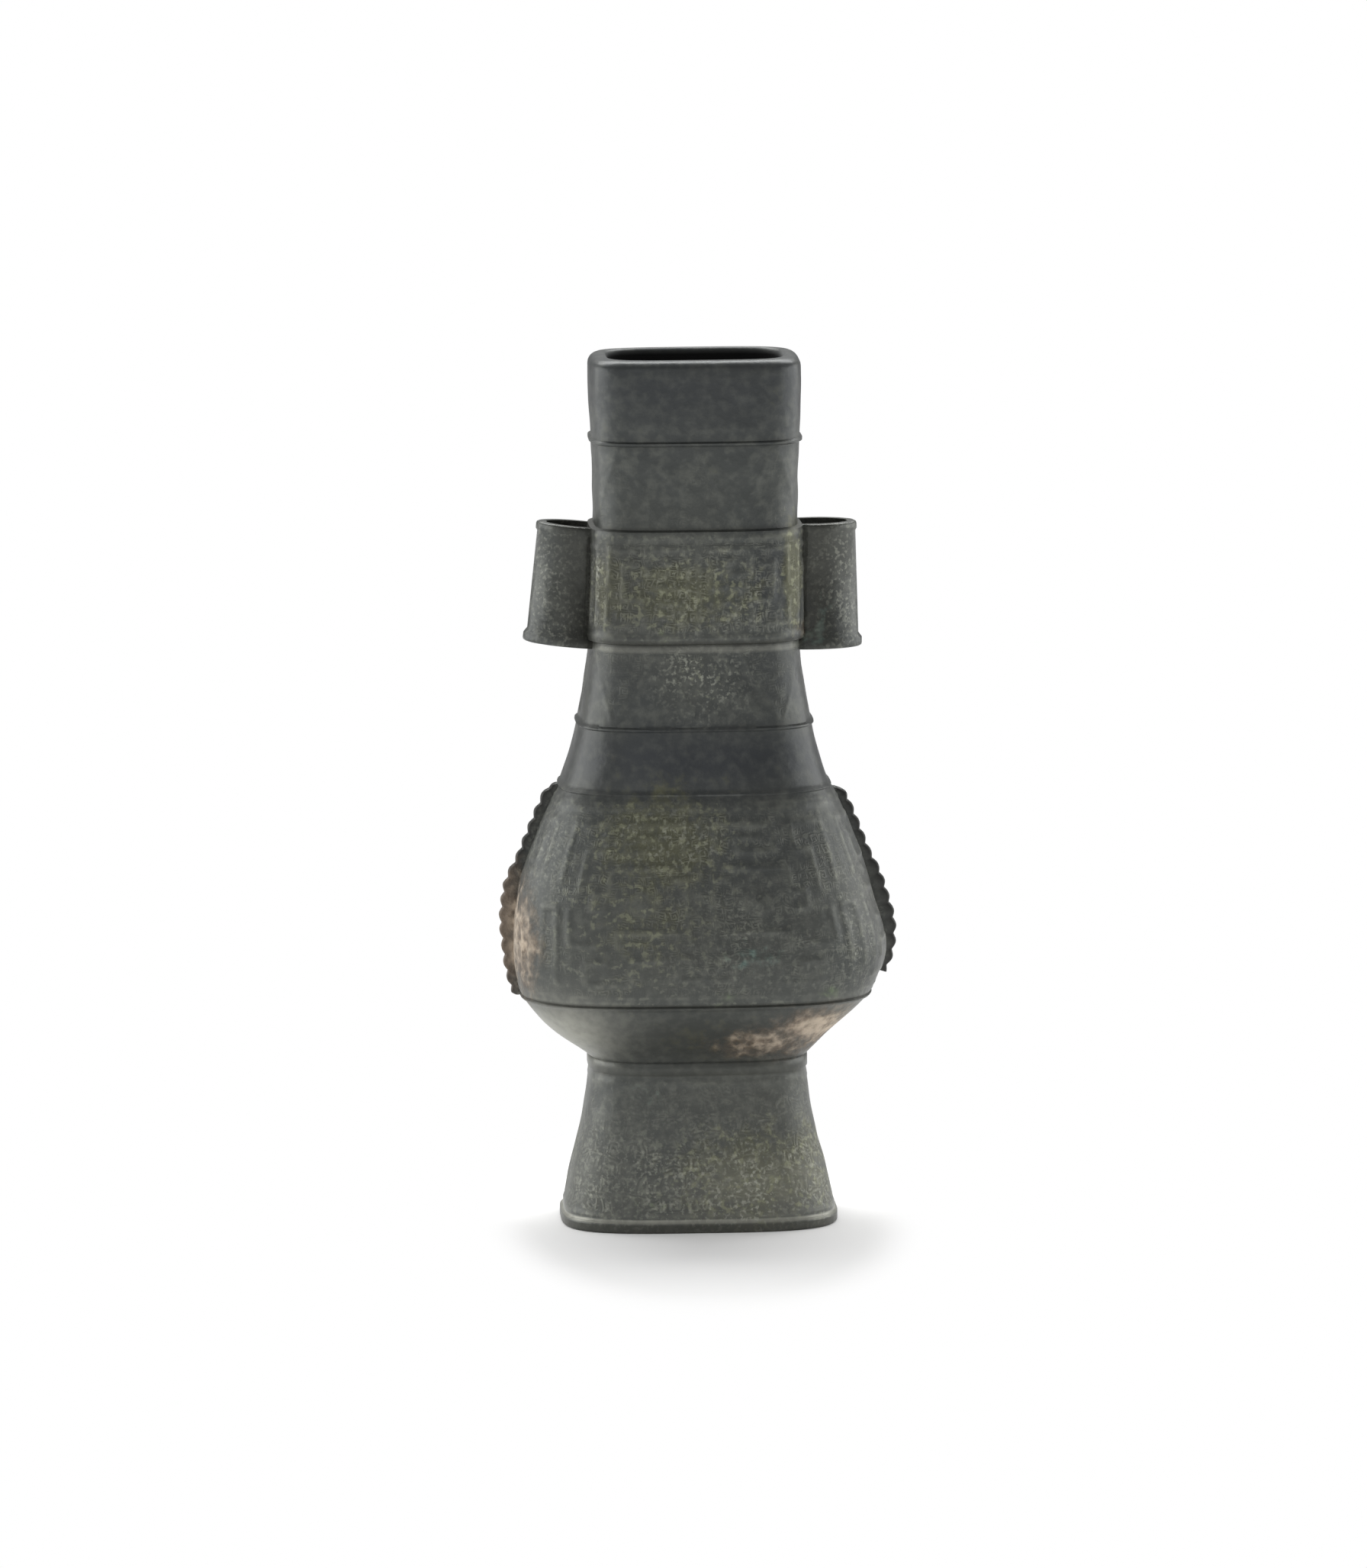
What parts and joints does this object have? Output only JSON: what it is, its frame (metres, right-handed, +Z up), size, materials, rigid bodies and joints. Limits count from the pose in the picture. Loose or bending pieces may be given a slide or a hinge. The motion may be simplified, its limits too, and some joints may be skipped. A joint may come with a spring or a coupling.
{
  "type": "arrow vase",
  "caption": "Flattened bronze arrow vase with a spreading hollow foot, swelling belly with notched side flanges, tall neck and tubular lugs open at both ends.",
  "frame": {"origin": "under the middle of the vase's overall width and depth, on the surface it stands on", "axes": "+Z up through the mouth, -Y and +Y out of the two broad faces, +X towards the right-hand lug seen from -Y"},
  "size_m": [0.1234, 0.0808, 0.27],
  "materials": {
    "patinated_bronze": "dark grey-green patina, satin, with olive, teal and rust-brown encrustation"
  },
  "bodies": {
    "root": {"arrow_vase": "patinated_bronze"}
  },
  "joints": []
}
